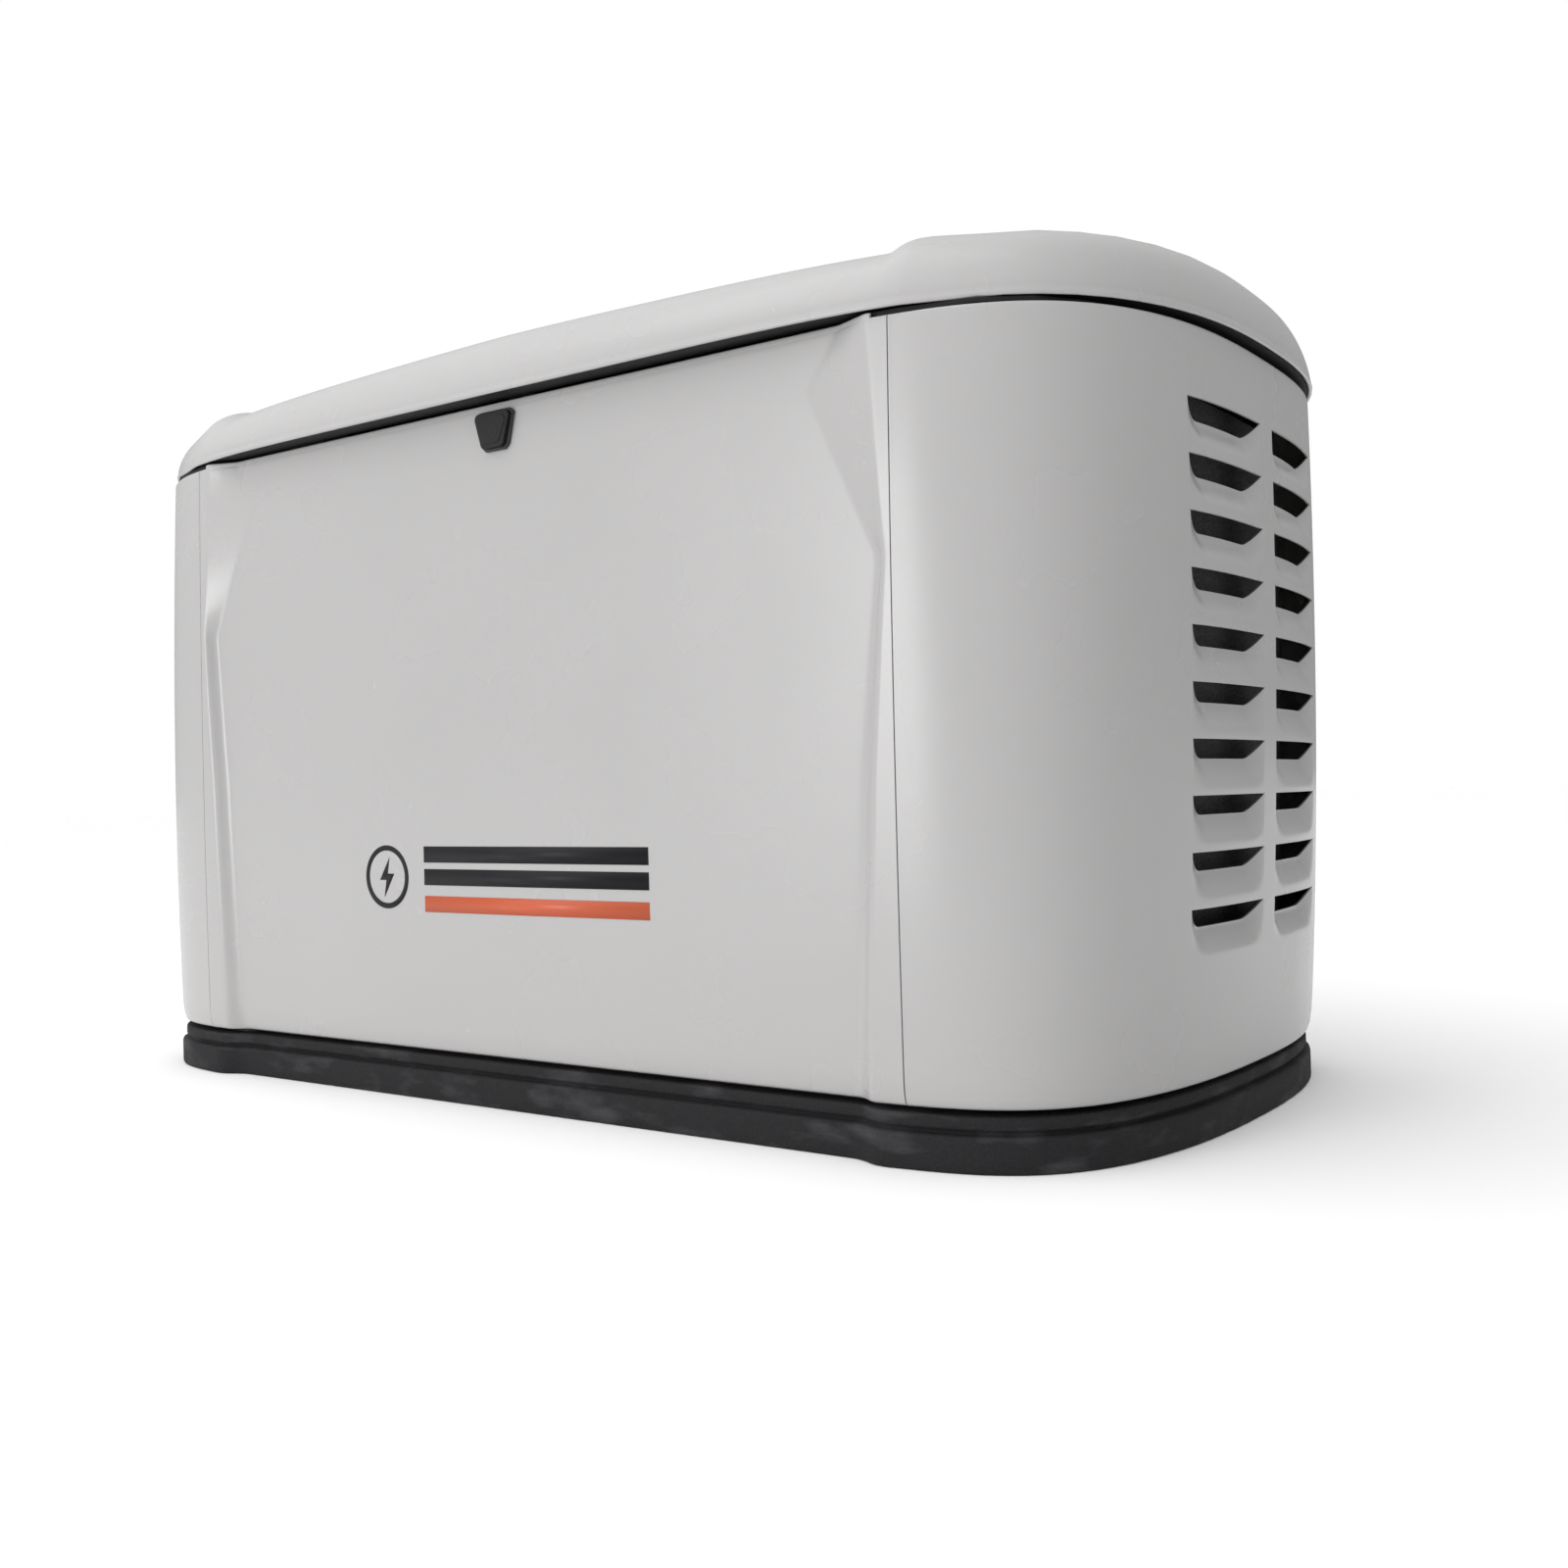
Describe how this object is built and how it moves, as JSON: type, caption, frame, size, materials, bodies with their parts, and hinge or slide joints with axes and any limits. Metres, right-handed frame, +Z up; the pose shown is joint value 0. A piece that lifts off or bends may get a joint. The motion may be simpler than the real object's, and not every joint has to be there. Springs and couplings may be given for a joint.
{
  "type": "home standby generator",
  "caption": "Long low weatherproof cabinet with louvred bowed ends and a rear-hinged crowned roof over an air-cooled engine, alternator, muffler, battery and controls, on a composite pad.",
  "frame": {"origin": "centre of the pad's underside", "axes": "+X along the length with the exhaust end positive, -Y towards the front panel, +Z up"},
  "size_m": [1.2178, 0.6477, 0.7188],
  "materials": {
    "panel_paint": "semi-gloss powder coat, warm light grey",
    "composite": "rough cast composite, near black",
    "black_paint": "satin black enamel",
    "rubber": "matt rubber",
    "foam": "open-cell sound foam",
    "zinc": "zinc-plated sheet",
    "steel": "ground steel",
    "cast_alloy": "as-cast alloy",
    "black_plastic": "moulded black plastic",
    "rotor_copper": "varnished winding",
    "exhaust_steel": "heat-stained steel",
    "filter_paint": "gloss enamel",
    "yellow_plastic": "moulded plastic",
    "red_plastic": "moulded plastic",
    "green_plastic": "moulded plastic",
    "white_plastic": "moulded plastic"
  },
  "bodies": {
    "chassis": {"left_end_panel": "panel_paint", "right_end_panel": "panel_paint", "rear_panel": "panel_paint", "base_pad": "composite", "base_tray": "black_paint", "engine_cradle": "black_paint", "starter_motor": "black_paint", "valve_cover_front": "black_paint", "valve_cover_rear": "black_paint", "control_box": "black_paint", "roof_seal": "rubber", "isolator_left_front": "rubber", "isolator_left_rear": "rubber", "isolator_right_front": "rubber", "isolator_right_rear": "rubber", "fuel_hose": "rubber", "battery_cable_negative": "rubber", "divider_panel": "zinc", "hinge_base_leaf_left": "zinc", "hinge_base_leaf_right": "zinc", "hinge_pin_left": "steel", "hinge_pin_right": "steel", "fuel_inlet_pipe": "steel", "crankcase": "cast_alloy", "cylinder_front": "cast_alloy", "cylinder_rear": "cast_alloy", "alternator_stator": "cast_alloy", "bearing_carrier": "cast_alloy", "intake_manifold": "cast_alloy", "fuel_regulator": "cast_alloy", "blower_housing": "black_plastic", "air_cleaner_box": "black_plastic", "air_cleaner_cover": "black_plastic", "battery": "black_plastic", "main_breaker": "black_plastic", "muffler": "exhaust_steel", "exhaust_pipe_front": "exhaust_steel", "exhaust_pipe_rear": "exhaust_steel", "oil_filter": "filter_paint", "battery_cable_positive": "red_plastic"},
    "roof_lid": {"roof": "panel_paint", "roof_liner": "foam", "roof_striker": "zinc", "hinge_roof_leaf_left": "zinc", "hinge_roof_leaf_right": "zinc"},
    "front_cover": {"front_panel": "panel_paint", "lock_bezel": "black_plastic"},
    "lock_flap": {"lock_cover": "rubber"},
    "lock_barrel": {"lock_cylinder": "steel", "lock_cam": "zinc"},
    "crank_train": {"crankshaft": "steel", "flywheel_fan": "cast_alloy", "alternator_rotor": "rotor_copper"},
    "dipstick_rod": {"dipstick": "yellow_plastic"},
    "filler_cap": {"oil_fill_cap": "yellow_plastic"},
    "breaker_toggle": {"breaker_lever": "white_plastic"},
    "fuel_selector": {"fuel_selector_lever": "red_plastic"},
    "auto_key": {"button_auto": "green_plastic"},
    "off_key": {"button_off": "red_plastic"},
    "manual_key": {"button_manual": "yellow_plastic"}
  },
  "joints": [
    {"name": "roof_hinge", "type": "hinge", "parent": "chassis", "child": "roof_lid", "pos_m": [0, 0.3222, 0.63], "axis": [-1, 0, 0], "range_deg": [0, 80]},
    {"name": "front_panel_pull", "type": "slide", "parent": "chassis", "child": "front_cover", "axis": [0, -1, 0], "range_m": [0, 0.25]},
    {"name": "lock_cover_flip", "type": "hinge", "parent": "front_cover", "child": "lock_flap", "pos_m": [0.008, -0.30458, 0.6225], "axis": [-1, 0, 0], "range_deg": [0, 85]},
    {"name": "lock_turn", "type": "hinge", "parent": "front_cover", "child": "lock_barrel", "pos_m": [0.008, -0.29848, 0.606], "axis": [0, 1, 0], "range_deg": [0, 90]},
    {"name": "crank_spin", "type": "hinge", "parent": "chassis", "child": "crank_train", "pos_m": [0, 0.02, 0.23], "axis": [1, 0, 0], "continuous": true},
    {"name": "dipstick_pull", "type": "slide", "parent": "chassis", "child": "dipstick_rod", "axis": [0, 0, 1], "range_m": [0, 0.12]},
    {"name": "filler_cap_turn", "type": "hinge", "parent": "chassis", "child": "filler_cap", "pos_m": [0.033, 0.20399, 0.41399], "axis": [0, 0.7071, 0.7071], "range_deg": [0, 90]},
    {"name": "breaker_throw", "type": "hinge", "parent": "chassis", "child": "breaker_toggle", "pos_m": [-0.232, -0.203, 0.61], "axis": [1, 0, 0], "range_deg": [-30, 30]},
    {"name": "fuel_select", "type": "hinge", "parent": "chassis", "child": "fuel_selector", "pos_m": [-0.026, 0.229, 0.146], "axis": [1, 0, 0], "range_deg": [0, 90]},
    {"name": "auto_press", "type": "slide", "parent": "chassis", "child": "auto_key", "axis": [0, 0, -1], "range_m": [0, 0.0015], "stiffness_N_per_m": 600},
    {"name": "off_press", "type": "slide", "parent": "chassis", "child": "off_key", "axis": [0, 0, -1], "range_m": [0, 0.0015], "stiffness_N_per_m": 600},
    {"name": "manual_press", "type": "slide", "parent": "chassis", "child": "manual_key", "axis": [0, 0, -1], "range_m": [0, 0.0015], "stiffness_N_per_m": 600}
  ]
}
